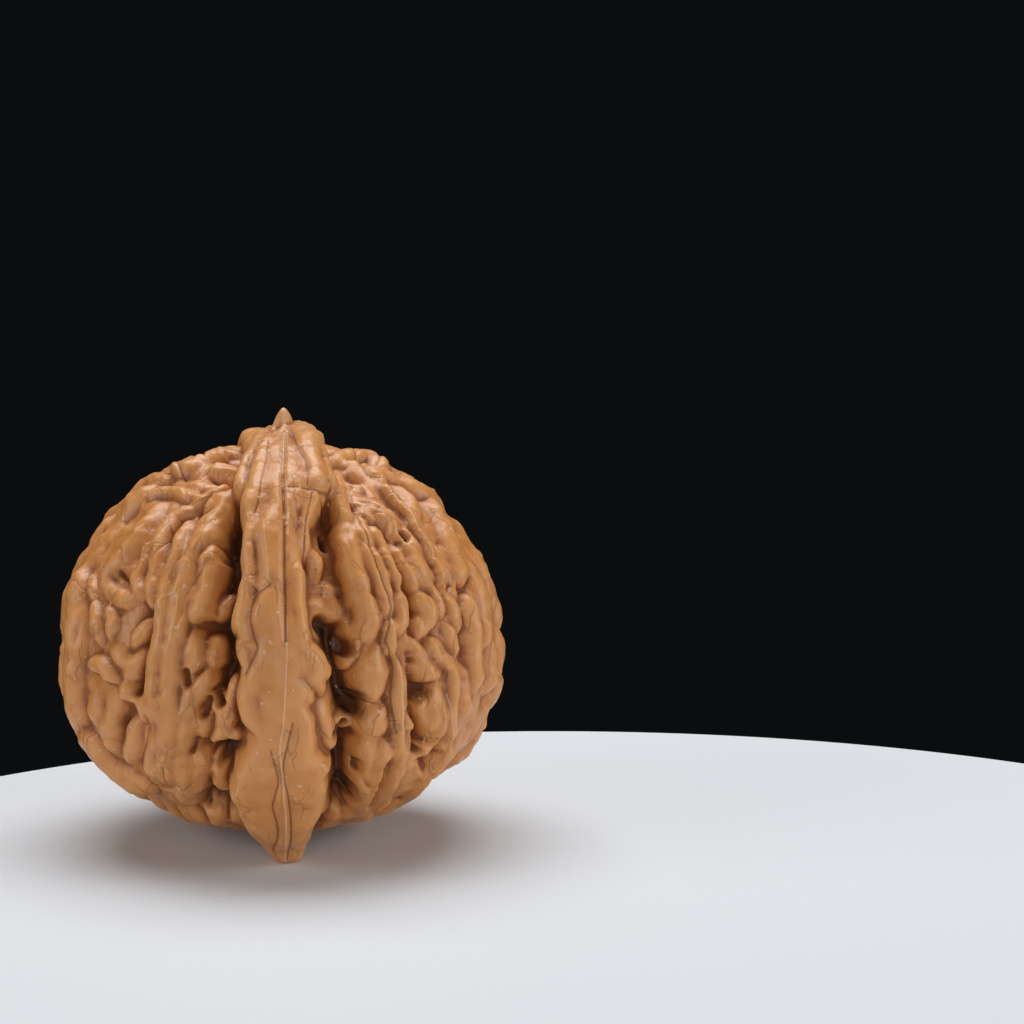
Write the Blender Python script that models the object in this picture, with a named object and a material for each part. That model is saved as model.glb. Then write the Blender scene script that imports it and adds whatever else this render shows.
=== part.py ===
"""A wenwan walnut, the hard deeply carved kind that is kept to be handled.

One solid: a nearly round body with a thick seam ridge that runs over the pointed tip from the
front foot to the back foot, a deep pitted groove on each side of the ridge, and bellies that are
covered with winding lobes. Metres, +Z up, the origin under the middle on the resting surface.
The seam ridge faces -Y, the bellies face -X and +X.
"""
import math
import random

import bmesh
import bpy
import numpy as np
from mathutils import Matrix, Vector, noise

MM = 0.001

# Driving dimensions in metres
BELLY_WIDTH = 41.0 * MM
HEIGHT = 39.6 * MM
MIDDLE_HEIGHT = 18.0 * MM

# Build quality
SPHERE_SUBDIVISIONS = 7
TRIANGLES = 11400

# What lies this close to the ground or below it is made level with the ground
STANDING_BAND = 0.2 * MM

# Where its three feet lie from the middle, the front one first, how far the shell round them stays
# clear of the ground, and the rounding in square metres that still counts as touching
FOOT_DIRECTIONS = [Vector((0, -1)), Vector((1, 0.3)), Vector((-1, 0.3))]
CLEARANCE = 0.25 * MM
TOUCHING = 1e-10

# Everything below is in millimetres until the mesh is made
MIDDLE = np.array([0.0, 0.0, MIDDLE_HEIGHT / MM])
MEAN_RADIUS = 0.5 * BELLY_WIDTH / MM
TIP_RADIUS = (HEIGHT - MIDDLE_HEIGHT) / MM

# The skin under the lobes: degrees down from the tip, share of the belly radius
SKIN_PROFILE = [(0, 0.83), (20, 0.885), (45, 0.932), (70, 0.972), (93, 1.0), (108, 1.01),
                (122, 0.985), (135, 0.95), (150, 0.90), (162, 0.875), (180, 0.84)]
SEAM_FLATTENING = 0.035

# The front view that the lobes' places are read from, in its 1024 pixel frame
VIEW_DISTANCE = 420.0
VIEW_AZIMUTH = math.radians(-1.6)
VIEW_ELEVATION = math.radians(11.5)
FRAME_CENTRE = 512
FOCAL_PIXELS = 4578
MIDDLE_PIXEL = (281, 639)
SIGHT_REACH = 1.4
SIGHT_STEPS = 700

# A lobe falls by this share of its half width where it meets its neighbours, and steeper beyond.
# Its ends fade over this many half widths, by these shares of its width and mm of its crest.
LOBE_DROP = 0.42
SIDE_STEEPNESS = 5.0
SOFTNESS = 0.2
DEEP_SOFTNESS = 0.3
END_FADE = 1.5
END_NARROWING = 0.25
END_SINKING = 0.45
LINE_STEP = 0.35
LINE_CHUNK = 8
LOWEST = -9.0
LOBE_MARGIN = 2.5
MELT_MARGIN = 1.0

# The ground between the lobes in mm, and the size and height in mm of each layer of unevenness
VALLEY_FLOOR = -0.75
WOBBLE = [(4.0, 0.45), (1.6, 0.22)]
FLOOR_LUMPS = [(5.0, 0.25), (2.0, 0.4), (0.9, 0.12)]
SURFACE_LUMPS = [(6.0, 0.30), (2.6, 0.26), (1.2, 0.12), (0.6, 0.04)]
LOBE_SEED = 7
HOOD_SEED = 9
WOBBLE_SEEDS = (3.0, 5.0, 8.0)
FLOOR_SEED = 11.0
LUMP_SEED = 17.0

# The seam ridge: x, y and half width in pixels, and crest in mm, from the tip to the foot
RIDGE = [(285, 420, 6, 3.1), (284, 434, 14, 2.5), (283, 452, 24, 2.4), (284, 470, 28, 2.4),
         (284, 486, 24, 2.3), (279, 504, 17, 2.2), (276, 530, 17, 2.2), (275, 565, 18, 2.2),
         (274, 600, 19, 2.2), (277, 630, 20, 2.2), (278, 660, 22, 2.2), (278, 690, 22, 2.2),
         (279, 715, 20, 2.2), (281, 740, 19, 2.2), (284, 765, 23, 2.3), (284, 785, 25, 2.4),
         (281, 805, 28, 2.5), (280, 825, 30, 2.6), (281, 842, 25, 2.8), (283, 853, 17, 2.9)]
RIDGE_DROP = 0.7

# The ridge's foot, hidden under its front: degrees down from the tip, half width and crest in mm
FOOT_DOWN = 147.0
FOOT_HALF_WIDTH = 1.2
FOOT_CREST = 3.4

# The pointed tip: half width and drop in mm, how far it leans to +X in degrees, its smooth reach,
# and where the seam ridge starts on it, its half width and how far below the point
TIP_WIDTH = 0.9
TIP_DROP = 1.2
TIP_LEAN = 1.0
TIP_CALM = 4.0
RIDGE_START_WIDTH = 0.8
RIDGE_START_DROP = 0.9

# Lobes: half width and crest above the skin in mm, one number or one for each end, then the
# pixels along the crest
HOOD_LOBES = [
    (0.6, (2.4, 1.4), [(265, 430), (258, 438), (250, 448), (243, 462), (240, 480)]),
    (1.0, (2.5, 2.1), [(273, 432), (262, 456), (257, 480), (257, 500)]),
    (1.0, (3.0, 2.2), [(296, 421), (308, 440), (315, 460), (320, 478)]),
    (0.5, (2.5, 1.5), [(302, 421), (314, 432), (322, 448), (328, 466), (334, 480)]),
    (0.7, (1.5, 0.2), [(318, 484), (334, 486), (344, 498), (350, 516)]),
    (0.5, (1.9, 1.0), [(314, 492), (307, 508), (303, 528), (302, 552)]),
]
RIDGE_LOBES = [
    # the winding left edge
    (0.6, 1.6, [(257, 505), (251, 520), (249, 550), (250, 575), (246, 600), (240, 618), (244, 642),
                (246, 665)]),
    (0.9, 1.8, [(258, 600), (258, 650), (253, 680), (250, 710), (257, 733)]),
    (1.1, 1.7, [(261, 757), (251, 785), (248, 808), (256, 830), (268, 846)]),
    # the winding right edge
    (0.5, 1.8, [(298, 560), (297, 590), (301, 620), (302, 650)]),
    (0.9, (1.9, 0.7), [(302, 650), (315, 662), (327, 675)]),
    (0.9, (1.8, 0.6), [(301, 668), (312, 680), (320, 691)]),
    (0.6, (1.8, 0.9), [(300, 684), (305, 696), (309, 704)]),
    (0.6, 1.7, [(300, 715), (304, 735), (306, 760)]),
    (0.9, 1.6, [(315, 765), (317, 785), (312, 803)]),
    (0.8, 1.7, [(309, 810), (302, 830), (296, 846)]),
]
LEFT_LOBES = [
    # the shoulder and the long lobes below it
    (1.0, (-0.1, 0.1), [(236, 450), (205, 452), (170, 463), (145, 481), (122, 506)]),
    (1.6, -0.2, [(232, 464), (208, 465), (180, 470)]),
    (1.5, -0.3, [(208, 482), (184, 483)]),
    (0.6, 0.0, [(147, 494), (158, 488), (173, 487), (188, 491), (200, 498)]),
    (1.0, (-0.6, 0.0), [(135, 494), (118, 514), (101, 535), (85, 557), (72, 578)]),
    (1.25, 0.05, [(154, 501), (141, 519), (128, 540), (114, 558), (104, 570)]),
    (0.85, 0.0, [(191, 502), (170, 512), (160, 530), (154, 550), (151, 575), (148, 600)]),
    (0.45, 0.0, [(144, 542), (140, 562), (133, 576), (138, 596)]),
    (0.5, 0.0, [(198, 496), (212, 488), (224, 481)]),
    (0.5, 0.1, [(204, 504), (214, 497), (223, 489)]),
    (0.8, (0.4, -0.2), [(234, 488), (220, 503), (210, 522), (204, 540)]),
    # the rib beside the groove, in two strands
    (0.8, 0.15, [(184, 518), (178, 540), (170, 565), (162, 592), (160, 615), (157, 640), (150, 668),
                 (150, 695), (154, 722)]),
    (0.8, 0.2, [(210, 506), (197, 532), (187, 556), (178, 582), (174, 606), (172, 632), (166, 660),
                (164, 690), (166, 716), (163, 740), (160, 765), (162, 788)]),
    (0.65, 0.0, [(193, 556), (189, 578), (185, 602)]),
    (0.8, 0.1, [(207, 548), (204, 572), (198, 598), (190, 616)]),
    (1.0, -0.1, [(152, 737), (148, 758), (152, 785)]),
    (1.0, -0.2, [(185, 700), (180, 735), (175, 755), (177, 780), (180, 802)]),
    (0.8, -0.3, [(192, 638), (190, 666)]),
    (0.6, -0.7, [(205, 675), (198, 690), (190, 705), (183, 716)]),
    (0.7, -0.8, [(202, 718), (199, 738)]),
    (0.8, -0.7, [(196, 760), (194, 785), (190, 806)]),
    # wrinkles down in the left groove
    (0.7, -1.7, [(222, 528), (216, 550)]),
    (1.0, -1.3, [(225, 601), (216, 612)]),
    (1.1, -0.9, [(211, 645), (208, 662)]),
    (0.6, (-0.7, -1.3), [(212, 698), (219, 714), (217, 738)]),
    (0.5, -1.0, [(234, 682), (230, 705), (227, 728)]),
    (0.6, -1.0, [(212, 744), (224, 736), (238, 738)]),
    (0.8, -1.0, [(216, 766), (221, 792)]),
    (1.2, -1.0, [(200, 806), (222, 816)]),
    # the left belly
    (0.7, 0.1, [(110, 560), (101, 576), (104, 590), (116, 597), (129, 597)]),
    (0.5, -0.2, [(88, 576), (89, 598)]),
    (0.6, 0.0, [(87, 604), (90, 622), (94, 640)]),
    (0.6, 0.1, [(104, 606), (107, 620), (104, 634)]),
    (1.5, 0.6, [(72, 572), (67, 595), (65, 625), (64, 650), (64, 680), (66, 712), (70, 734)]),
    (0.6, -0.3, [(146, 622), (138, 632), (130, 644)]),
    (1.1, 0.1, [(107, 654), (120, 664)]),
    (0.7, 0.2, [(84, 662), (98, 667), (110, 680)]),
    (0.9, 0.3, [(117, 690), (124, 698)]),
    (0.7, -0.3, [(137, 656), (128, 672), (124, 684)]),
    (0.6, -0.1, [(133, 695), (141, 708), (145, 722)]),
    (1.0, -0.2, [(90, 702), (94, 726)]),
    (1.1, 0.0, [(103, 716), (103, 735), (108, 755)]),
    (1.0, -0.2, [(131, 731), (129, 748), (124, 765)]),
    (1.3, 0.7, [(71, 736), (86, 754), (102, 772), (121, 788), (138, 797)]),
    (0.8, -0.6, [(140, 785), (152, 793)]),
]
RIGHT_LOBES = [
    # the rib beside the groove, in two strands
    (1.0, 0.1, [(350, 514), (351, 530), (353, 547), (358, 568), (366, 592), (371, 614), (373, 634)]),
    (1.3, 0.3, [(377, 652), (377, 675), (378, 697)]),
    (1.2, 0.1, [(380, 712), (380, 728), (376, 742)]),
    (0.75, 0.2, [(357, 510), (365, 530), (372, 550), (378, 568), (386, 592), (389, 612)]),
    (0.45, -0.1, [(362, 507), (373, 519)]),
    (0.45, 0.15, [(374, 524), (383, 542), (391, 560), (401, 585)]),
    (0.7, 0.1, [(402, 592), (404, 615), (402, 632)]),
    (0.5, 0.25, [(393, 622), (391, 640), (396, 655)]),
    (0.55, 0.1, [(399, 660), (402, 690), (401, 720), (402, 742)]),
    (0.9, 0.1, [(402, 740), (401, 765), (392, 790), (381, 814)]),
    (0.8, 0.1, [(388, 748), (384, 772), (374, 802)]),
    (1.0, -0.2, [(373, 744), (372, 768), (368, 794), (361, 820)]),
    # wrinkles down in the right groove
    (0.8, (0.6, -0.5), [(307, 552), (315, 560), (316, 572)]),
    (0.8, -1.5, [(318, 586), (334, 590)]),
    (0.8, -1.3, [(308, 604), (326, 606), (346, 612)]),
    (0.9, -0.9, [(352, 622), (356, 640), (350, 662)]),
    (0.9, -0.4, [(312, 700), (322, 718), (331, 748)]),
    (0.8, -1.5, [(336, 724), (354, 722)]),
    (1.2, -1.5, [(345, 815), (330, 815)]),
    # the next valley and the second rib
    (1.35, 0.05, [(357, 494), (374, 503), (388, 514), (398, 528)]),
    (0.7, -0.5, [(394, 545), (402, 560), (411, 580)]),
    (0.7, -0.4, [(413, 574), (418, 590)]),
    (1.1, 0.1, [(410, 530), (417, 546), (424, 565), (431, 582)]),
    (0.4, 0.2, [(386, 482), (400, 497), (413, 512), (419, 526)]),
    (0.4, 0.25, [(420, 527), (431, 539), (437, 553), (443, 564), (446, 580)]),
    (0.5, 0.1, [(436, 585), (443, 600), (447, 614)]),
    (1.0, 0.3, [(429, 596), (436, 612), (428, 627)]),
    (0.6, 0.1, [(434, 643), (446, 655), (456, 668), (459, 690), (457, 715), (455, 742)]),
    (1.0, 0.1, [(424, 668), (440, 676)]),
    (0.6, -0.4, [(414, 643), (421, 655), (430, 664)]),
    (0.45, -0.6, [(421, 701), (427, 716), (431, 730)]),
    (1.0, 0.0, [(440, 694), (443, 715), (443, 742)]),
    (0.45, -0.2, [(411, 724), (413, 733)]),
    (0.8, (-0.1, -0.5), [(454, 750), (440, 770), (422, 788), (402, 806), (385, 814)]),
    # the right shoulder and belly
    (1.0, 0.5, [(332, 452), (352, 449), (372, 453), (388, 462)]),
    (1.4, 0.0, [(354, 463), (372, 470), (386, 482)]),
    (1.0, 0.3, [(396, 466), (412, 480), (428, 490)]),
    (1.1, 0.0, [(402, 484), (414, 498), (420, 514)]),
    (1.2, 0.1, [(434, 500), (446, 517), (455, 535), (464, 556), (467, 576)]),
    (1.0, 0.1, [(472, 560), (482, 580), (490, 608), (495, 640)]),
    (0.7, -0.1, [(454, 597), (458, 612), (463, 628)]),
    (0.85, 0.1, [(473, 598), (479, 625), (483, 660), (482, 690)]),
    (0.7, -0.1, [(451, 628), (458, 640), (464, 650)]),
    (1.1, 0.1, [(499, 645), (500, 665), (497, 690)]),
    (1.1, -0.3, [(470, 690), (468, 715)]),
    (1.1, (-0.3, -0.8), [(490, 702), (480, 724), (466, 744)]),
    (0.8, -0.5, [(425, 757), (435, 748)]),
]

# Long hollows: half width and floor below the skin in mm, then the pixels where the floor shows
HOLLOWS = [
    (2.1, 4.2, [(240, 490), (232, 530), (229, 565), (228, 600), (228, 640), (226, 690), (226, 750),
                (224, 800)]),
    (2.3, 2.4, [(325, 506), (332, 530), (336, 560), (334, 592)]),
    (2.2, 4.3, [(332, 620), (332, 645), (341, 680), (350, 708), (344, 740), (343, 765), (345, 790),
                (338, 812)]),
    (1.2, 2.8, [(385, 540), (398, 575), (410, 620), (411, 660), (413, 700), (418, 740), (425, 770)]),
    (1.2, 1.7, [(342, 464), (352, 482)]),
    (1.0, 2.2, [(160, 600), (148, 640), (140, 680), (130, 720), (118, 740)]),
    (0.9, 1.8, [(434, 526), (444, 548), (456, 572), (456, 640), (470, 665)]),
]

HOLLOW_REACH = 1.6
HOLLOW_LEVEL = 0.7

# Pits: radius and level of the opening and depth below it in mm, then the pixels along the middle
PITS = [
    (0.95, -1.0, 4.6, [(355, 700), (354, 710)]), (1.0, -1.7, 1.8, [(320, 626), (330, 636), (342, 648)]),
    (0.6, -2.0, 2.6, [(331, 757), (332, 765)]), (0.65, -1.6, 3.2, [(346, 782), (345, 795)]),
    (0.25, -1.8, 1.5, [(353, 757), (352, 764)]), (0.4, -1.8, 0.9, [(344, 722), (336, 732)]),
    (0.8, -1.0, 1.7, [(422, 690), (416, 696)]), (0.4, -1.0, 1.5, [(414, 742), (418, 752)]),
    (0.6, -2.2, 1.5, [(227, 742), (226, 756)]), (0.4, -0.8, 1.3, [(142, 678), (140, 692)]),
    (0.35, -0.8, 1.2, [(186, 672), (187, 684)]), (0.35, -0.8, 1.0, [(124, 714), (120, 726)]),
    (0.35, -0.6, 0.8, [(120, 573), (124, 582)]), (0.7, -2.2, 1.8, [(236, 540), (234, 562)]),
    (0.5, -2.0, 1.5, [(232, 640), (230, 662)]), (0.4, -1.6, 1.5, [(216, 690), (222, 702)]),
    (0.4, -1.5, 1.5, [(204, 790), (208, 802)]), (0.3, -0.6, 1.0, [(404, 540), (400, 534)]),
    (0.3, -0.6, 1.0, [(451, 590), (453, 584)]), (0.5, -1.6, 1.4, [(322, 536), (324, 548)]),
    (0.4, -1.0, 1.2, [(208, 700), (204, 716)]), (0.3, -1.0, 1.0, [(196, 740), (192, 752)]),
]
PIT_SLOPE = 4.0
PIT_SOFTNESS = 0.15

# The back half: how far its lobes stray from the front's, in degrees and in share of width, and the
# crest in mm from which they do not. Its ridge and its hood are this much lower, and only the
# hood's lobes wider than this are repeated
BACK_STRAY = 3.5
STRAYING_CREST = 0.5
BACK_WIDTH_CHANGE = 0.18
BACK_RIDGE_SINK = 0.6
BACK_HOOD_SINK = 1.3
BACK_HOOD_WIDTH = 0.8

# The lobes on the edge of each belly, end to end down a few meridians, in degrees and mm
EDGE_AZIMUTHS = [-4, 1, 6]
EDGE_SPAN = (34, 142)
EDGE_START = (0, 5)
EDGE_LENGTH = (9, 24)
EDGE_GAP = (2, 5)
EDGE_WANDER = 2.5
EDGE_WIDTH = (0.7, 1.2)
EDGE_CREST = (-0.4, 0.2)

# The lobes round the tip, in degrees and mm
CROWN_LOBES = 7
CROWN_AZIMUTHS = (12, 168)
CROWN_SPAN = (13, 34)
CROWN_STRAY = 4
CROWN_WIDTH = (0.7, 1.0)
CROWN_CREST = (0.2, -0.2)

# The lobes round the base, in degrees and mm
BASE_LOBES = 16
BASE_AZIMUTHS = (-80, 80)
BASE_SPAN = (140, 172)
BASE_STRAY = 3
BASE_BEND = 6
BASE_WIDTH = (0.9, 1.2)
BASE_END_WIDTH = 0.4
BASE_CREST = (0.0, -0.6)

# The two low knobs that the nut stands on with its foot: azimuth, degrees down, half width and crest
KNOBS = [(33, 157, 2.0, 1.8), (147, 157, 2.0, 1.8)]

NUT_COLOUR = (0.43, 0.185, 0.075, 1.0)
NUT_ROUGHNESS = 0.5


def clear_scene():
    for item in list(bpy.data.objects):
        bpy.data.objects.remove(item)


def unit(vectors):
    return vectors / np.linalg.norm(vectors, axis=-1, keepdims=True)


def direction(azimuth, down):
    """The unit direction at an azimuth from +X and an angle down from the tip, in degrees."""
    turn, tilt = math.radians(azimuth), math.radians(down)
    return np.array([math.cos(turn) * math.sin(tilt), math.sin(turn) * math.sin(tilt), math.cos(tilt)])


def skin_radius(rays):
    """The radius of the smooth body under the lobes, a curve through the profile's points."""
    angles, shares = np.array(SKIN_PROFILE, float).T
    down = np.degrees(np.arccos(np.clip(rays[:, 2], -1, 1)))
    index = np.clip(np.searchsorted(angles, down) - 1, 0, len(angles) - 2)
    span = angles[index + 1] - angles[index]
    part = (down - angles[index]) / span
    slopes = np.gradient(shares, angles)
    share = (shares[index] * (1 + 2 * part) * (1 - part) ** 2
             + shares[index + 1] * (3 - 2 * part) * part ** 2
             + slopes[index] * span * part * (1 - part) ** 2
             + slopes[index + 1] * span * (part - 1) * part ** 2)
    return MEAN_RADIUS * share * (1 - SEAM_FLATTENING * rays[:, 1] ** 2)


def front_view():
    """The eye of the front view and its right, up and forward directions."""
    across, below = MIDDLE_PIXEL[0] - FRAME_CENTRE, MIDDLE_PIXEL[1] - FRAME_CENTRE
    reach = math.sqrt(across ** 2 + below ** 2 + FOCAL_PIXELS ** 2)
    pitch = math.asin(math.sin(VIEW_ELEVATION) * reach / math.hypot(below, FOCAL_PIXELS))
    pitch -= math.atan2(below, FOCAL_PIXELS)
    ahead = FOCAL_PIXELS * math.cos(pitch) - below * math.sin(pitch)
    heading = -VIEW_AZIMUTH - math.atan2(across, ahead)
    sight = direction(math.degrees(VIEW_AZIMUTH) - 90, 90 - math.degrees(VIEW_ELEVATION))
    right = np.array([math.cos(heading), -math.sin(heading), 0])
    forward = np.array([math.sin(heading) * math.cos(pitch), math.cos(heading) * math.cos(pitch),
                        -math.sin(pitch)])
    return MIDDLE + VIEW_DISTANCE * sight, right, np.cross(right, forward), forward


def seen_at(pixels, height):
    """Directions from the middle to the places, height above the skin, that show at the pixels."""
    eye, right, up, forward = front_view()
    places = []
    for x, y in pixels:
        ray = unit(FOCAL_PIXELS * forward + (x - FRAME_CENTRE) * right - (y - FRAME_CENTRE) * up)
        along = (MIDDLE - eye) @ ray + np.linspace(-SIGHT_REACH * MEAN_RADIUS, 0, SIGHT_STEPS)
        points = eye + along[:, None] * ray - MIDDLE
        above = np.linalg.norm(points, axis=1) - skin_radius(unit(points)) - height
        inside = np.flatnonzero(above <= 0)
        first = inside[0] if len(inside) else int(np.argmin(above))
        places.append(unit(points[first]))
    return np.array(places)


def smooth_line(places):
    """Directions about LINE_STEP apart on a curve through the places, and how far along each is."""
    if len(places) == 1:
        return places, np.zeros(1)
    ends = np.vstack([2 * places[0] - places[1], places, 2 * places[-1] - places[-2]])
    points, shares = [], []
    for index in range(len(places) - 1):
        before, start, end, after = ends[index:index + 4]
        count = max(2, int(MEAN_RADIUS * np.linalg.norm(end - start) / LINE_STEP))
        part = np.linspace(0, 1, count, endpoint=False)[:, None]
        points.append(0.5 * (2 * start + (end - before) * part
                             + (2 * before - 5 * start + 4 * end - after) * part ** 2
                             + (3 * start - before - 3 * end + after) * part ** 3))
        shares.append((index + part[:, 0]) / (len(places) - 1))
    points.append(places[-1:])
    shares.append(np.ones(1))
    return unit(np.vstack(points)), np.concatenate(shares)


def lobe(places, width, crest):
    """A lobe's centre line, and its half width and crest height along it, both less at its ends."""
    line, shares = smooth_line(places)
    widths = np.interp(shares, (0, 1), np.broadcast_to(width, 2))
    crests = np.interp(shares, (0, 1), np.broadcast_to(crest, 2))
    if len(line) > 1:
        length = MEAN_RADIUS * np.linalg.norm(np.diff(line, axis=0), axis=1).sum()
        to_end = length * np.minimum(shares, 1 - shares)
        fade = np.clip(1 - to_end / (END_FADE * widths), 0, 1)
        widths = widths * (1 - END_NARROWING * fade)
        crests = crests - END_SINKING * fade ** 2
    return line, widths, crests, LOBE_DROP * np.max(width)


def seen_lobes(listed):
    return [lobe(seen_at(pixels, np.mean(crest)), width, crest) for width, crest, pixels in listed]


def pointed_tip():
    """The lobe of the pointed tip, lower by as much as the melting lifts it."""
    place = direction(0, TIP_LEAN)[None, :]
    crest = TIP_RADIUS - SOFTNESS - skin_radius(place)
    return place, np.array([TIP_WIDTH]), crest, TIP_DROP


def seam_ridge():
    """The front of the seam ridge, one wide lobe whose width follows its winding edges."""
    seen = [seen_at([(x, y)], crest) for x, y, _, crest in RIDGE]
    tip, _, tip_crest, _ = pointed_tip()
    line, shares = smooth_line(np.vstack([tip] + seen + [direction(-90, FOOT_DOWN)]))
    marks = np.linspace(0, 1, len(RIDGE) + 2)
    halves = [half * VIEW_DISTANCE / FOCAL_PIXELS for _, _, half, _ in RIDGE]
    halves = [RIDGE_START_WIDTH] + halves + [FOOT_HALF_WIDTH]
    crests = [tip_crest[0] - RIDGE_START_DROP] + [crest for _, _, _, crest in RIDGE] + [FOOT_CREST]
    return line, np.interp(shares, marks, halves), np.interp(shares, marks, crests), RIDGE_DROP


def turned_to_back(lobes, rng):
    """The lobes again on the back half, each a little astray, as no two halves are alike."""
    copies = []
    for line, widths, crests, drop in lobes:
        turn = math.radians(180 + rng.uniform(-BACK_STRAY, BACK_STRAY) * (crests.max() < STRAYING_CREST))
        change = 1 + rng.uniform(-BACK_WIDTH_CHANGE, BACK_WIDTH_CHANGE)
        copies.append((line @ np.array(Matrix.Rotation(-turn, 3, "Z")), widths * change, crests, drop))
    return copies


def lowered(lobes, sink):
    return [(line, widths, crests - sink, drop) for line, widths, crests, drop in lobes]


def run_of_lobes(rng, azimuth):
    """Lobes end to end down one meridian, each a little aside of the last."""
    lobes = []
    down = EDGE_SPAN[0] + rng.uniform(*EDGE_START)
    while down < EDGE_SPAN[1]:
        length = rng.uniform(*EDGE_LENGTH)
        aside = azimuth + rng.uniform(-EDGE_WANDER, EDGE_WANDER)
        bend = rng.uniform(-EDGE_WANDER, EDGE_WANDER)
        steps = [direction(aside + bend * part, down + length * part) for part in (0, 0.5, 1)]
        lobes.append(lobe(np.array(steps), rng.uniform(*EDGE_WIDTH), rng.uniform(*EDGE_CREST)))
        down += length + rng.uniform(*EDGE_GAP)
    return lobes


def hidden_lobes(rng):
    """The lobes on the edge of each belly, round the tip and round the base, by rule."""
    lobes = []
    for side in (0, 180):
        for azimuth in EDGE_AZIMUTHS:
            lobes += run_of_lobes(rng, side + azimuth)
        for azimuth in np.linspace(*CROWN_AZIMUTHS, CROWN_LOBES):
            azimuth += rng.uniform(-CROWN_STRAY, CROWN_STRAY)
            steps = [direction(azimuth, down) for down in CROWN_SPAN]
            lobes.append(lobe(np.array(steps), rng.uniform(*CROWN_WIDTH), CROWN_CREST))
        for azimuth in np.linspace(*BASE_AZIMUTHS, BASE_LOBES):
            azimuth += side + rng.uniform(-BASE_STRAY, BASE_STRAY)
            bend = rng.uniform(-BASE_BEND, BASE_BEND)
            downs = np.linspace(*BASE_SPAN, 3)
            steps = [direction(azimuth + bend * part, down) for part, down in zip((0, 0.5, 1), downs)]
            width = (rng.uniform(*BASE_WIDTH), BASE_END_WIDTH)
            lobes.append(lobe(np.array(steps), width, BASE_CREST))
    for azimuth, down, width, crest in KNOBS:
        lobes.append(lobe(direction(azimuth, down)[None, :], width, crest))
    return lobes


def fractal(rays, layers, seed):
    """Smooth noise between about -1 and 1 times each layer's height, for (size mm, height mm) layers."""
    total = np.zeros(len(rays))
    for size, height in layers:
        scale = MEAN_RADIUS / size
        shift = Vector((seed, 2.7 * seed, -1.3 * seed))
        total += height * np.array([noise.noise(Vector(ray) * scale + shift) for ray in rays])
    return total


def distances(rays, line):
    """The distance in mm over the surface from each ray to the nearest point of the line."""
    nearest = np.full(len(rays), np.inf)
    for point in line:
        nearest = np.minimum(nearest, ((rays - point) ** 2).sum(1))
    return MEAN_RADIUS * np.sqrt(nearest)


def near(rays, line, margin):
    """The rays within margin mm of the line's surrounding ball."""
    centre = line.mean(0)
    reach = np.linalg.norm(line - centre, axis=1).max() + margin / MEAN_RADIUS
    return np.flatnonzero(((rays - centre) ** 2).sum(1) < reach ** 2)


def raise_lobe(relief, rays, shape):
    """Lifts the relief to a rounded lobe, melted a little into what is there."""
    line, widths, crests, drop = shape
    margin = LOBE_MARGIN * widths.max() + MELT_MARGIN
    index = near(rays, line, margin)
    if len(index) == 0:
        return
    level = np.full(len(index), LOWEST)
    for first in range(0, len(line), LINE_CHUNK):
        chunk = slice(first, first + LINE_CHUNK)
        close = near(rays[index], line[chunk], margin)
        part = rays[index[close]]
        for point, width, crest in zip(line[chunk], widths[chunk], crests[chunk]):
            reach = MEAN_RADIUS * np.sqrt(((part - point) ** 2).sum(1)) / width
            fall = drop * (reach ** 2 + SIDE_STEEPNESS * np.maximum(reach - 1, 0) ** 2)
            level[close] = np.maximum(level[close], crest - fall)
    ground = relief[index]
    gap = np.abs(ground - level)
    melt = SOFTNESS + DEEP_SOFTNESS * np.clip(-crests.mean(), 0, 1)
    relief[index] = np.maximum(ground, level) + melt * np.log1p(np.exp(-gap / melt))


def bent(rays):
    """The rays strayed a little aside, so that no lobe's outline is even."""
    wobble = np.stack([fractal(rays, WOBBLE, seed) for seed in WOBBLE_SEEDS], axis=1)
    return unit(rays + wobble / MEAN_RADIUS)


def valley_floor(rays):
    """The ground between the lobes, deeper along the hollows of both halves."""
    floor = VALLEY_FLOOR + fractal(rays, FLOOR_LUMPS, FLOOR_SEED)
    for half_width, depth, pixels in HOLLOWS:
        line, _ = smooth_line(seen_at(pixels, -HOLLOW_LEVEL * depth))
        for turned in (line, line * (-1, -1, 1)):
            reach = np.clip(distances(rays, bent(turned)) / (HOLLOW_REACH * half_width), 0, 1)
            slope = 1 - reach ** 2 * (3 - 2 * reach)
            floor = np.minimum(floor, VALLEY_FLOOR - (depth + VALLEY_FLOOR) * slope)
    return floor


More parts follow.
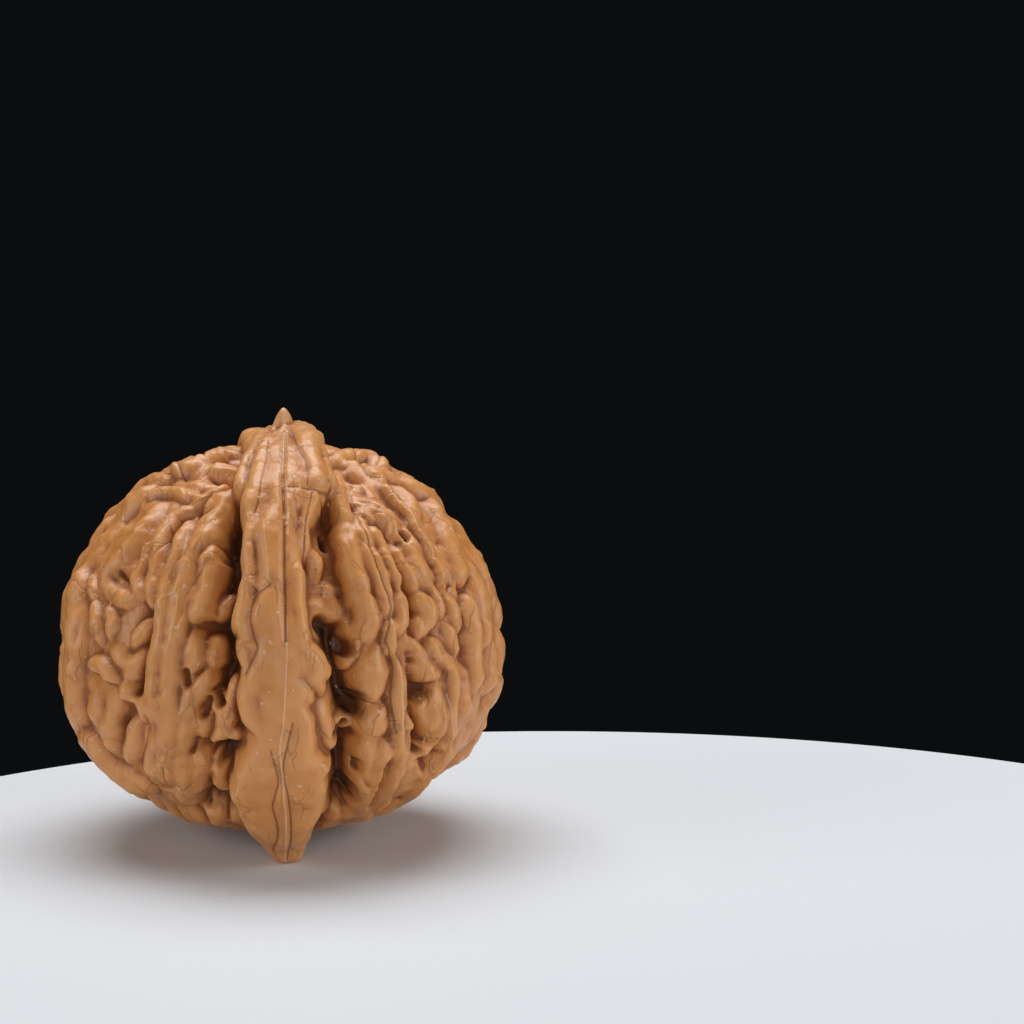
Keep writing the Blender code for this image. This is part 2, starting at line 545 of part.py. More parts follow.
def nut_relief(rays):
    """The height in mm of the nut's surface above its skin."""
    rng = random.Random(LOBE_SEED)
    strayed = bent(rays)
    relief = valley_floor(strayed)
    hood, ridge = seen_lobes(HOOD_LOBES), [seam_ridge()]
    front = seen_lobes(RIDGE_LOBES + LEFT_LOBES + RIGHT_LOBES)
    shapes = hood + front + turned_to_back(front, rng)
    shapes += ridge + turned_to_back(lowered(ridge, BACK_RIDGE_SINK), rng)
    wide_hood = [shape for shape in hood if shape[1].max() > BACK_HOOD_WIDTH]
    shapes += turned_to_back(lowered(wide_hood, BACK_HOOD_SINK), random.Random(HOOD_SEED))
    for line, *rest in shapes + [pointed_tip()] + hidden_lobes(rng):
        raise_lobe(relief, strayed, (bent(line), *rest))
    for radius, level, depth, pixels in PITS:
        line, _ = smooth_line(seen_at(pixels, level))
        for turned in (line, line * (-1, -1, 1)):
            outside = distances(strayed, bent(turned)) - radius
            side = level + np.maximum(PIT_SLOPE * outside, -depth)
            gap = np.abs(relief - side)
            relief = np.minimum(relief, side) - PIT_SOFTNESS * np.log1p(np.exp(-gap / PIT_SOFTNESS))
    from_tip = distances(rays, direction(0, TIP_LEAN)[None, :])
    lumps = np.clip(from_tip / TIP_CALM, 0, 1) * fractal(rays, SURFACE_LUMPS, LUMP_SEED)
    return relief + lumps


def nut_points(rays):
    """The surface points in metres."""
    radius = skin_radius(rays) + nut_relief(rays)
    return MM * (MIDDLE + radius[:, None] * rays)


def nut_mesh(subdivisions):
    mesh = bpy.data.meshes.new("walnut")
    ball = bmesh.new()
    bmesh.ops.create_icosphere(ball, subdivisions=subdivisions, radius=1)
    rays = unit(np.array([vertex.co[:] for vertex in ball.verts]))
    for vertex, point in zip(ball.verts, nut_points(rays)):
        vertex.co = point
    ball.to_mesh(mesh)
    ball.free()
    return mesh


def settle(mesh):
    """Centres the mesh over the origin and levels it where it reaches the ground."""
    corners = np.array([vertex.co[:] for vertex in mesh.vertices])
    middle = 0.5 * (corners.min(0) + corners.max(0))
    for vertex in mesh.vertices:
        place = vertex.co - Vector((middle[0], middle[1], 0))
        if place.z < STANDING_BAND:
            place.z = 0
        vertex.co = place


def stand_on_three(mesh):
    """Leaves it standing on the farthest point of each foot and on the flat spots between them."""
    feet = []
    for toward in FOOT_DIRECTIONS:
        reach = [vertex.co.xy.dot(toward) if vertex.co.z == 0 else 0 for vertex in mesh.vertices]
        feet.append(mesh.vertices[int(np.argmax(reach))].co.copy())
    for vertex in mesh.vertices:
        if vertex.co.z < CLEARANCE and outside_triangle(vertex.co.xy, feet):
            vertex.co.z = CLEARANCE


def outside_triangle(point, feet):
    """Whether a point lies outside the triangle of the feet, listed anticlockwise."""
    for start, end in zip(feet, feet[1:] + feet[:1]):
        side = (end - start).xy
        if side.x * (point.y - start.y) - side.y * (point.x - start.x) < -TOUCHING:
            return True
    return False


def shell_material():
    material = bpy.data.materials.new("shell")
    material.use_nodes = True
    shader = material.node_tree.nodes["Principled BSDF"]
    shader.inputs["Base Color"].default_value = NUT_COLOUR
    shader.inputs["Roughness"].default_value = NUT_ROUGHNESS
    shader.inputs["Metallic"].default_value = 0.0
    return material


def walnut():
    """The whole nut, thinned to the triangle budget and set over the origin."""
    collection = bpy.data.collections.new("wenwan_walnut")
    bpy.context.scene.collection.children.link(collection)
    nut = bpy.data.objects.new("walnut", nut_mesh(SPHERE_SUBDIVISIONS))
    collection.objects.link(nut)
    thin = nut.modifiers.new("thin", "DECIMATE")
    thin.ratio = TRIANGLES / len(nut.data.polygons)
    fine = nut.evaluated_get(bpy.context.evaluated_depsgraph_get())
    nut.data = bpy.data.meshes.new_from_object(fine)
    nut.modifiers.clear()
    settle(nut.data)
    stand_on_three(nut.data)
    nut.data.materials.append(shell_material())
    nut.data.shade_smooth()
    return nut


clear_scene()
walnut()
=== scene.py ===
import math
import random

import bmesh
import bpy
import numpy as np
from mathutils import Matrix, Vector, noise


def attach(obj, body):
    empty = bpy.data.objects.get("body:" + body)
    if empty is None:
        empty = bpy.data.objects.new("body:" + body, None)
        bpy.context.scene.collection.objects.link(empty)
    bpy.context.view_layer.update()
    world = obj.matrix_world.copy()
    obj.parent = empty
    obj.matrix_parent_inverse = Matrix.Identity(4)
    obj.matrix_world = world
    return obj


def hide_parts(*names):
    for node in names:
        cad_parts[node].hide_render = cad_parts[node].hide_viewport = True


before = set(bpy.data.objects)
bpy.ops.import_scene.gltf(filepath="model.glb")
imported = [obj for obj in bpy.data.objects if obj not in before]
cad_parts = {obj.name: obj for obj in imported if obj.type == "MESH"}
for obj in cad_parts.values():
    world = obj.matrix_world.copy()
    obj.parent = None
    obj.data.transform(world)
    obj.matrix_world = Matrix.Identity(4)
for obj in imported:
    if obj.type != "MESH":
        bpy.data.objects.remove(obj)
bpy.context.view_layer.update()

# The nut's shell. One hard shell grown in two halves that meet in a thick ridge over the pointed
# tip, with a deep groove on each side of it and bellies covered with winding lobes. The surface
# is a ball whose skin, lobes, hollows and pits are raised and sunk along rays from its middle.
MM = 0.001
BELLY_WIDTH = 41.0 * MM
HEIGHT = 39.6 * MM
MIDDLE_HEIGHT = 18.0 * MM

MIDDLE = np.array([0.0, 0.0, MIDDLE_HEIGHT / MM])
MEAN_RADIUS = 0.5 * BELLY_WIDTH / MM
TIP_RADIUS = (HEIGHT - MIDDLE_HEIGHT) / MM

# The skin under the lobes: degrees down from the tip, share of the belly radius
SKIN_PROFILE = [(0, 0.83), (20, 0.885), (45, 0.932), (70, 0.972), (93, 1.0), (108, 1.01),
                (122, 0.985), (135, 0.95), (150, 0.90), (162, 0.875), (180, 0.84)]
SEAM_FLATTENING = 0.035

# The front view that the lobes' places are read from, in its 1024 pixel frame
VIEW_DISTANCE = 420.0
VIEW_AZIMUTH = math.radians(-1.6)
VIEW_ELEVATION = math.radians(11.5)
FRAME_CENTRE = 512
FOCAL_PIXELS = 4578
MIDDLE_PIXEL = (281, 639)
SIGHT_REACH = 1.4
SIGHT_STEPS = 700

# A lobe falls by this share of its half width where it meets its neighbours, and steeper beyond.
# Its ends fade over this many half widths, by these shares of its width and mm of its crest.
LOBE_DROP = 0.42
SIDE_STEEPNESS = 5.0
SOFTNESS = 0.2
DEEP_SOFTNESS = 0.3
END_FADE = 1.5
END_NARROWING = 0.25
END_SINKING = 0.45
LINE_STEP = 0.35
LINE_CHUNK = 8
LOWEST = -9.0
LOBE_MARGIN = 2.5
MELT_MARGIN = 1.0

# The ground between the lobes in mm, and the size and height in mm of each layer of unevenness
VALLEY_FLOOR = -0.75
WOBBLE = [(4.0, 0.45), (1.6, 0.22)]
FLOOR_LUMPS = [(5.0, 0.25), (2.0, 0.4), (0.9, 0.12)]
SURFACE_LUMPS = [(6.0, 0.30), (2.6, 0.26), (1.2, 0.12), (0.6, 0.04)]
LOBE_SEED = 7
HOOD_SEED = 9
WOBBLE_SEEDS = (3.0, 5.0, 8.0)
FLOOR_SEED = 11.0
LUMP_SEED = 17.0

# The seam ridge: x, y and half width in pixels, and crest in mm, from the tip to the foot
RIDGE = [(285, 420, 6, 3.1), (284, 434, 14, 2.5), (283, 452, 24, 2.4), (284, 470, 28, 2.4),
         (284, 486, 24, 2.3), (279, 504, 17, 2.2), (276, 530, 17, 2.2), (275, 565, 18, 2.2),
         (274, 600, 19, 2.2), (277, 630, 20, 2.2), (278, 660, 22, 2.2), (278, 690, 22, 2.2),
         (279, 715, 20, 2.2), (281, 740, 19, 2.2), (284, 765, 23, 2.3), (284, 785, 25, 2.4),
         (281, 805, 28, 2.5), (280, 825, 30, 2.6), (281, 842, 25, 2.8), (283, 853, 17, 2.9)]
RIDGE_DROP = 0.7

# The ridge's foot, hidden under its front: degrees down from the tip, half width and crest in mm
FOOT_DOWN = 147.0
FOOT_HALF_WIDTH = 1.2
FOOT_CREST = 3.4

# The pointed tip: half width and drop in mm, how far it leans to +X in degrees, its smooth reach,
# and where the seam ridge starts on it, its half width and how far below the point
TIP_WIDTH = 0.9
TIP_DROP = 1.2
TIP_LEAN = 1.0
TIP_CALM = 4.0
RIDGE_START_WIDTH = 0.8
RIDGE_START_DROP = 0.9

# Lobes: half width and crest above the skin in mm, one number or one for each end, then the
# pixels along the crest
HOOD_LOBES = [
    (0.6, (2.4, 1.4), [(265, 430), (258, 438), (250, 448), (243, 462), (240, 480)]),
    (1.0, (2.5, 2.1), [(273, 432), (262, 456), (257, 480), (257, 500)]),
    (1.0, (3.0, 2.2), [(296, 421), (308, 440), (315, 460), (320, 478)]),
    (0.5, (2.5, 1.5), [(302, 421), (314, 432), (322, 448), (328, 466), (334, 480)]),
    (0.7, (1.5, 0.2), [(318, 484), (334, 486), (344, 498), (350, 516)]),
    (0.5, (1.9, 1.0), [(314, 492), (307, 508), (303, 528), (302, 552)]),
]
RIDGE_LOBES = [
    # the winding left edge
    (0.6, 1.6, [(257, 505), (251, 520), (249, 550), (250, 575), (246, 600), (240, 618), (244, 642),
                (246, 665)]),
    (0.9, 1.8, [(258, 600), (258, 650), (253, 680), (250, 710), (257, 733)]),
    (1.1, 1.7, [(261, 757), (251, 785), (248, 808), (256, 830), (268, 846)]),
    # the winding right edge
    (0.5, 1.8, [(298, 560), (297, 590), (301, 620), (302, 650)]),
    (0.9, (1.9, 0.7), [(302, 650), (315, 662), (327, 675)]),
    (0.9, (1.8, 0.6), [(301, 668), (312, 680), (320, 691)]),
    (0.6, (1.8, 0.9), [(300, 684), (305, 696), (309, 704)]),
    (0.6, 1.7, [(300, 715), (304, 735), (306, 760)]),
    (0.9, 1.6, [(315, 765), (317, 785), (312, 803)]),
    (0.8, 1.7, [(309, 810), (302, 830), (296, 846)]),
]
LEFT_LOBES = [
    # the shoulder and the long lobes below it
    (1.0, (-0.1, 0.1), [(236, 450), (205, 452), (170, 463), (145, 481), (122, 506)]),
    (1.6, -0.2, [(232, 464), (208, 465), (180, 470)]),
    (1.5, -0.3, [(208, 482), (184, 483)]),
    (0.6, 0.0, [(147, 494), (158, 488), (173, 487), (188, 491), (200, 498)]),
    (1.0, (-0.6, 0.0), [(135, 494), (118, 514), (101, 535), (85, 557), (72, 578)]),
    (1.25, 0.05, [(154, 501), (141, 519), (128, 540), (114, 558), (104, 570)]),
    (0.85, 0.0, [(191, 502), (170, 512), (160, 530), (154, 550), (151, 575), (148, 600)]),
    (0.45, 0.0, [(144, 542), (140, 562), (133, 576), (138, 596)]),
    (0.5, 0.0, [(198, 496), (212, 488), (224, 481)]),
    (0.5, 0.1, [(204, 504), (214, 497), (223, 489)]),
    (0.8, (0.4, -0.2), [(234, 488), (220, 503), (210, 522), (204, 540)]),
    # the rib beside the groove, in two strands
    (0.8, 0.15, [(184, 518), (178, 540), (170, 565), (162, 592), (160, 615), (157, 640), (150, 668),
                 (150, 695), (154, 722)]),
    (0.8, 0.2, [(210, 506), (197, 532), (187, 556), (178, 582), (174, 606), (172, 632), (166, 660),
                (164, 690), (166, 716), (163, 740), (160, 765), (162, 788)]),
    (0.65, 0.0, [(193, 556), (189, 578), (185, 602)]),
    (0.8, 0.1, [(207, 548), (204, 572), (198, 598), (190, 616)]),
    (1.0, -0.1, [(152, 737), (148, 758), (152, 785)]),
    (1.0, -0.2, [(185, 700), (180, 735), (175, 755), (177, 780), (180, 802)]),
    (0.8, -0.3, [(192, 638), (190, 666)]),
    (0.6, -0.7, [(205, 675), (198, 690), (190, 705), (183, 716)]),
    (0.7, -0.8, [(202, 718), (199, 738)]),
    (0.8, -0.7, [(196, 760), (194, 785), (190, 806)]),
    # wrinkles down in the left groove
    (0.7, -1.7, [(222, 528), (216, 550)]),
    (1.0, -1.3, [(225, 601), (216, 612)]),
    (1.1, -0.9, [(211, 645), (208, 662)]),
    (0.6, (-0.7, -1.3), [(212, 698), (219, 714), (217, 738)]),
    (0.5, -1.0, [(234, 682), (230, 705), (227, 728)]),
    (0.6, -1.0, [(212, 744), (224, 736), (238, 738)]),
    (0.8, -1.0, [(216, 766), (221, 792)]),
    (1.2, -1.0, [(200, 806), (222, 816)]),
    # the left belly
    (0.7, 0.1, [(110, 560), (101, 576), (104, 590), (116, 597), (129, 597)]),
    (0.5, -0.2, [(88, 576), (89, 598)]),
    (0.6, 0.0, [(87, 604), (90, 622), (94, 640)]),
    (0.6, 0.1, [(104, 606), (107, 620), (104, 634)]),
    (1.5, 0.6, [(72, 572), (67, 595), (65, 625), (64, 650), (64, 680), (66, 712), (70, 734)]),
    (0.6, -0.3, [(146, 622), (138, 632), (130, 644)]),
    (1.1, 0.1, [(107, 654), (120, 664)]),
    (0.7, 0.2, [(84, 662), (98, 667), (110, 680)]),
    (0.9, 0.3, [(117, 690), (124, 698)]),
    (0.7, -0.3, [(137, 656), (128, 672), (124, 684)]),
    (0.6, -0.1, [(133, 695), (141, 708), (145, 722)]),
    (1.0, -0.2, [(90, 702), (94, 726)]),
    (1.1, 0.0, [(103, 716), (103, 735), (108, 755)]),
    (1.0, -0.2, [(131, 731), (129, 748), (124, 765)]),
    (1.3, 0.7, [(71, 736), (86, 754), (102, 772), (121, 788), (138, 797)]),
    (0.8, -0.6, [(140, 785), (152, 793)]),
]
RIGHT_LOBES = [
    # the rib beside the groove, in two strands
    (1.0, 0.1, [(350, 514), (351, 530), (353, 547), (358, 568), (366, 592), (371, 614), (373, 634)]),
    (1.3, 0.3, [(377, 652), (377, 675), (378, 697)]),
    (1.2, 0.1, [(380, 712), (380, 728), (376, 742)]),
    (0.75, 0.2, [(357, 510), (365, 530), (372, 550), (378, 568), (386, 592), (389, 612)]),
    (0.45, -0.1, [(362, 507), (373, 519)]),
    (0.45, 0.15, [(374, 524), (383, 542), (391, 560), (401, 585)]),
    (0.7, 0.1, [(402, 592), (404, 615), (402, 632)]),
    (0.5, 0.25, [(393, 622), (391, 640), (396, 655)]),
    (0.55, 0.1, [(399, 660), (402, 690), (401, 720), (402, 742)]),
    (0.9, 0.1, [(402, 740), (401, 765), (392, 790), (381, 814)]),
    (0.8, 0.1, [(388, 748), (384, 772), (374, 802)]),
    (1.0, -0.2, [(373, 744), (372, 768), (368, 794), (361, 820)]),
    # wrinkles down in the right groove
    (0.8, (0.6, -0.5), [(307, 552), (315, 560), (316, 572)]),
    (0.8, -1.5, [(318, 586), (334, 590)]),
    (0.8, -1.3, [(308, 604), (326, 606), (346, 612)]),
    (0.9, -0.9, [(352, 622), (356, 640), (350, 662)]),
    (0.9, -0.4, [(312, 700), (322, 718), (331, 748)]),
    (0.8, -1.5, [(336, 724), (354, 722)]),
    (1.2, -1.5, [(345, 815), (330, 815)]),
    # the next valley and the second rib
    (1.35, 0.05, [(357, 494), (374, 503), (388, 514), (398, 528)]),
    (0.7, -0.5, [(394, 545), (402, 560), (411, 580)]),
    (0.7, -0.4, [(413, 574), (418, 590)]),
    (1.1, 0.1, [(410, 530), (417, 546), (424, 565), (431, 582)]),
    (0.4, 0.2, [(386, 482), (400, 497), (413, 512), (419, 526)]),
    (0.4, 0.25, [(420, 527), (431, 539), (437, 553), (443, 564), (446, 580)]),
    (0.5, 0.1, [(436, 585), (443, 600), (447, 614)]),
    (1.0, 0.3, [(429, 596), (436, 612), (428, 627)]),
    (0.6, 0.1, [(434, 643), (446, 655), (456, 668), (459, 690), (457, 715), (455, 742)]),
    (1.0, 0.1, [(424, 668), (440, 676)]),
    (0.6, -0.4, [(414, 643), (421, 655), (430, 664)]),
    (0.45, -0.6, [(421, 701), (427, 716), (431, 730)]),
    (1.0, 0.0, [(440, 694), (443, 715), (443, 742)]),
    (0.45, -0.2, [(411, 724), (413, 733)]),
    (0.8, (-0.1, -0.5), [(454, 750), (440, 770), (422, 788), (402, 806), (385, 814)]),
    # the right shoulder and belly
    (1.0, 0.5, [(332, 452), (352, 449), (372, 453), (388, 462)]),
    (1.4, 0.0, [(354, 463), (372, 470), (386, 482)]),
    (1.0, 0.3, [(396, 466), (412, 480), (428, 490)]),
    (1.1, 0.0, [(402, 484), (414, 498), (420, 514)]),
    (1.2, 0.1, [(434, 500), (446, 517), (455, 535), (464, 556), (467, 576)]),
    (1.0, 0.1, [(472, 560), (482, 580), (490, 608), (495, 640)]),
    (0.7, -0.1, [(454, 597), (458, 612), (463, 628)]),
    (0.85, 0.1, [(473, 598), (479, 625), (483, 660), (482, 690)]),
    (0.7, -0.1, [(451, 628), (458, 640), (464, 650)]),
    (1.1, 0.1, [(499, 645), (500, 665), (497, 690)]),
    (1.1, -0.3, [(470, 690), (468, 715)]),
    (1.1, (-0.3, -0.8), [(490, 702), (480, 724), (466, 744)]),
    (0.8, -0.5, [(425, 757), (435, 748)]),
]

# Long hollows: half width and floor below the skin in mm, then the pixels where the floor shows
HOLLOWS = [
    (2.1, 4.2, [(240, 490), (232, 530), (229, 565), (228, 600), (228, 640), (226, 690), (226, 750),
                (224, 800)]),
    (2.3, 2.4, [(325, 506), (332, 530), (336, 560), (334, 592)]),
    (2.2, 4.3, [(332, 620), (332, 645), (341, 680), (350, 708), (344, 740), (343, 765), (345, 790),
                (338, 812)]),
    (1.2, 2.8, [(385, 540), (398, 575), (410, 620), (411, 660), (413, 700), (418, 740), (425, 770)]),
    (1.2, 1.7, [(342, 464), (352, 482)]),
    (1.0, 2.2, [(160, 600), (148, 640), (140, 680), (130, 720), (118, 740)]),
    (0.9, 1.8, [(434, 526), (444, 548), (456, 572), (456, 640), (470, 665)]),
]

HOLLOW_REACH = 1.6
HOLLOW_LEVEL = 0.7

# Pits: radius and level of the opening and depth below it in mm, then the pixels along the middle
PITS = [
    (0.95, -1.0, 4.6, [(355, 700), (354, 710)]), (1.0, -1.7, 1.8, [(320, 626), (330, 636), (342, 648)]),
    (0.6, -2.0, 2.6, [(331, 757), (332, 765)]), (0.65, -1.6, 3.2, [(346, 782), (345, 795)]),
    (0.25, -1.8, 1.5, [(353, 757), (352, 764)]), (0.4, -1.8, 0.9, [(344, 722), (336, 732)]),
    (0.8, -1.0, 1.7, [(422, 690), (416, 696)]), (0.4, -1.0, 1.5, [(414, 742), (418, 752)]),
    (0.6, -2.2, 1.5, [(227, 742), (226, 756)]), (0.4, -0.8, 1.3, [(142, 678), (140, 692)]),
    (0.35, -0.8, 1.2, [(186, 672), (187, 684)]), (0.35, -0.8, 1.0, [(124, 714), (120, 726)]),
    (0.35, -0.6, 0.8, [(120, 573), (124, 582)]), (0.7, -2.2, 1.8, [(236, 540), (234, 562)]),
    (0.5, -2.0, 1.5, [(232, 640), (230, 662)]), (0.4, -1.6, 1.5, [(216, 690), (222, 702)]),
    (0.4, -1.5, 1.5, [(204, 790), (208, 802)]), (0.3, -0.6, 1.0, [(404, 540), (400, 534)]),
    (0.3, -0.6, 1.0, [(451, 590), (453, 584)]), (0.5, -1.6, 1.4, [(322, 536), (324, 548)]),
    (0.4, -1.0, 1.2, [(208, 700), (204, 716)]), (0.3, -1.0, 1.0, [(196, 740), (192, 752)]),
]
PIT_SLOPE = 4.0
PIT_SOFTNESS = 0.15

# The back half: how far its lobes stray from the front's, in degrees and in share of width, and the
# crest in mm from which they do not. Its ridge and its hood are this much lower, and only the
# hood's lobes wider than this are repeated
BACK_STRAY = 3.5
STRAYING_CREST = 0.5
BACK_WIDTH_CHANGE = 0.18
BACK_RIDGE_SINK = 0.6
BACK_HOOD_SINK = 1.3
BACK_HOOD_WIDTH = 0.8

# The lobes on the edge of each belly, end to end down a few meridians, in degrees and mm
EDGE_AZIMUTHS = [-4, 1, 6]
EDGE_SPAN = (34, 142)
EDGE_START = (0, 5)
EDGE_LENGTH = (9, 24)
EDGE_GAP = (2, 5)
EDGE_WANDER = 2.5
EDGE_WIDTH = (0.7, 1.2)
EDGE_CREST = (-0.4, 0.2)

# The lobes round the tip, in degrees and mm
CROWN_LOBES = 7
CROWN_AZIMUTHS = (12, 168)
CROWN_SPAN = (13, 34)
CROWN_STRAY = 4
CROWN_WIDTH = (0.7, 1.0)
CROWN_CREST = (0.2, -0.2)

# The lobes round the base, in degrees and mm
BASE_LOBES = 16
BASE_AZIMUTHS = (-80, 80)
BASE_SPAN = (140, 172)
BASE_STRAY = 3
BASE_BEND = 6
BASE_WIDTH = (0.9, 1.2)
BASE_END_WIDTH = 0.4
BASE_CREST = (0.0, -0.6)

# The two low knobs that the nut stands on with its foot: azimuth, degrees down, half width and crest
KNOBS = [(33, 157, 2.0, 1.8), (147, 157, 2.0, 1.8)]


def unit(vectors):
    return vectors / np.linalg.norm(vectors, axis=-1, keepdims=True)


def direction(azimuth, down):
    """The unit direction at an azimuth from +X and an angle down from the tip, in degrees."""
    turn, tilt = math.radians(azimuth), math.radians(down)
    return np.array([math.cos(turn) * math.sin(tilt), math.sin(turn) * math.sin(tilt), math.cos(tilt)])


def skin_radius(rays):
    """The radius of the smooth body under the lobes, a curve through the profile's points."""
    angles, shares = np.array(SKIN_PROFILE, float).T
    down = np.degrees(np.arccos(np.clip(rays[:, 2], -1, 1)))
    index = np.clip(np.searchsorted(angles, down) - 1, 0, len(angles) - 2)
    span = angles[index + 1] - angles[index]
    part = (down - angles[index]) / span
    slopes = np.gradient(shares, angles)
    share = (shares[index] * (1 + 2 * part) * (1 - part) ** 2
             + shares[index + 1] * (3 - 2 * part) * part ** 2
             + slopes[index] * span * part * (1 - part) ** 2
             + slopes[index + 1] * span * (part - 1) * part ** 2)
    return MEAN_RADIUS * share * (1 - SEAM_FLATTENING * rays[:, 1] ** 2)


def front_view():
    """The eye of the front view and its right, up and forward directions."""
    across, below = MIDDLE_PIXEL[0] - FRAME_CENTRE, MIDDLE_PIXEL[1] - FRAME_CENTRE
    reach = math.sqrt(across ** 2 + below ** 2 + FOCAL_PIXELS ** 2)
    pitch = math.asin(math.sin(VIEW_ELEVATION) * reach / math.hypot(below, FOCAL_PIXELS))
    pitch -= math.atan2(below, FOCAL_PIXELS)
    ahead = FOCAL_PIXELS * math.cos(pitch) - below * math.sin(pitch)
    heading = -VIEW_AZIMUTH - math.atan2(across, ahead)
    sight = direction(math.degrees(VIEW_AZIMUTH) - 90, 90 - math.degrees(VIEW_ELEVATION))
    right = np.array([math.cos(heading), -math.sin(heading), 0])
    forward = np.array([math.sin(heading) * math.cos(pitch), math.cos(heading) * math.cos(pitch),
                        -math.sin(pitch)])
    return MIDDLE + VIEW_DISTANCE * sight, right, np.cross(right, forward), forward


def seen_at(pixels, height):
    """Directions from the middle to the places, height above the skin, that show at the pixels."""
    eye, right, up, forward = front_view()
    places = []
    for x, y in pixels:
        ray = unit(FOCAL_PIXELS * forward + (x - FRAME_CENTRE) * right - (y - FRAME_CENTRE) * up)
        along = (MIDDLE - eye) @ ray + np.linspace(-SIGHT_REACH * MEAN_RADIUS, 0, SIGHT_STEPS)
        points = eye + along[:, None] * ray - MIDDLE
        above = np.linalg.norm(points, axis=1) - skin_radius(unit(points)) - height
        inside = np.flatnonzero(above <= 0)
        first = inside[0] if len(inside) else int(np.argmin(above))
        places.append(unit(points[first]))
    return np.array(places)


def smooth_line(places):
    """Directions about LINE_STEP apart on a curve through the places, and how far along each is."""
    if len(places) == 1:
        return places, np.zeros(1)
    ends = np.vstack([2 * places[0] - places[1], places, 2 * places[-1] - places[-2]])
    points, shares = [], []
    for index in range(len(places) - 1):
        before, start, end, after = ends[index:index + 4]
        count = max(2, int(MEAN_RADIUS * np.linalg.norm(end - start) / LINE_STEP))
        part = np.linspace(0, 1, count, endpoint=False)[:, None]
        points.append(0.5 * (2 * start + (end - before) * part
                             + (2 * before - 5 * start + 4 * end - after) * part ** 2
                             + (3 * start - before - 3 * end + after) * part ** 3))
        shares.append((index + part[:, 0]) / (len(places) - 1))
    points.append(places[-1:])
    shares.append(np.ones(1))
    return unit(np.vstack(points)), np.concatenate(shares)


def lobe(places, width, crest):
    """A lobe's centre line, and its half width and crest height along it, both less at its ends."""
    line, shares = smooth_line(places)
    widths = np.interp(shares, (0, 1), np.broadcast_to(width, 2))
    crests = np.interp(shares, (0, 1), np.broadcast_to(crest, 2))
    if len(line) > 1:
        length = MEAN_RADIUS * np.linalg.norm(np.diff(line, axis=0), axis=1).sum()
        to_end = length * np.minimum(shares, 1 - shares)
        fade = np.clip(1 - to_end / (END_FADE * widths), 0, 1)
        widths = widths * (1 - END_NARROWING * fade)
        crests = crests - END_SINKING * fade ** 2
    return line, widths, crests, LOBE_DROP * np.max(width)


def seen_lobes(listed):
    return [lobe(seen_at(pixels, np.mean(crest)), width, crest) for width, crest, pixels in listed]


def pointed_tip():
    """The lobe of the pointed tip, lower by as much as the melting lifts it."""
    place = direction(0, TIP_LEAN)[None, :]
    crest = TIP_RADIUS - SOFTNESS - skin_radius(place)
    return place, np.array([TIP_WIDTH]), crest, TIP_DROP


def seam_ridge():
    """The front of the seam ridge, one wide lobe whose width follows its winding edges."""
    seen = [seen_at([(x, y)], crest) for x, y, _, crest in RIDGE]
    tip, _, tip_crest, _ = pointed_tip()
    line, shares = smooth_line(np.vstack([tip] + seen + [direction(-90, FOOT_DOWN)]))
    marks = np.linspace(0, 1, len(RIDGE) + 2)
    halves = [half * VIEW_DISTANCE / FOCAL_PIXELS for _, _, half, _ in RIDGE]
    halves = [RIDGE_START_WIDTH] + halves + [FOOT_HALF_WIDTH]
    crests = [tip_crest[0] - RIDGE_START_DROP] + [crest for _, _, _, crest in RIDGE] + [FOOT_CREST]
    return line, np.interp(shares, marks, halves), np.interp(shares, marks, crests), RIDGE_DROP


def turned_to_back(lobes, rng):
    """The lobes again on the back half, each a little astray, as no two halves are alike."""
    copies = []
    for line, widths, crests, drop in lobes:
        turn = math.radians(180 + rng.uniform(-BACK_STRAY, BACK_STRAY) * (crests.max() < STRAYING_CREST))
        change = 1 + rng.uniform(-BACK_WIDTH_CHANGE, BACK_WIDTH_CHANGE)
        copies.append((line @ np.array(Matrix.Rotation(-turn, 3, "Z")), widths * change, crests, drop))
    return copies


def lowered(lobes, sink):
    return [(line, widths, crests - sink, drop) for line, widths, crests, drop in lobes]


def run_of_lobes(rng, azimuth):
    """Lobes end to end down one meridian, each a little aside of the last."""
    lobes = []
    down = EDGE_SPAN[0] + rng.uniform(*EDGE_START)
    while down < EDGE_SPAN[1]:
        length = rng.uniform(*EDGE_LENGTH)
        aside = azimuth + rng.uniform(-EDGE_WANDER, EDGE_WANDER)
        bend = rng.uniform(-EDGE_WANDER, EDGE_WANDER)
        steps = [direction(aside + bend * part, down + length * part) for part in (0, 0.5, 1)]
        lobes.append(lobe(np.array(steps), rng.uniform(*EDGE_WIDTH), rng.uniform(*EDGE_CREST)))
        down += length + rng.uniform(*EDGE_GAP)
    return lobes


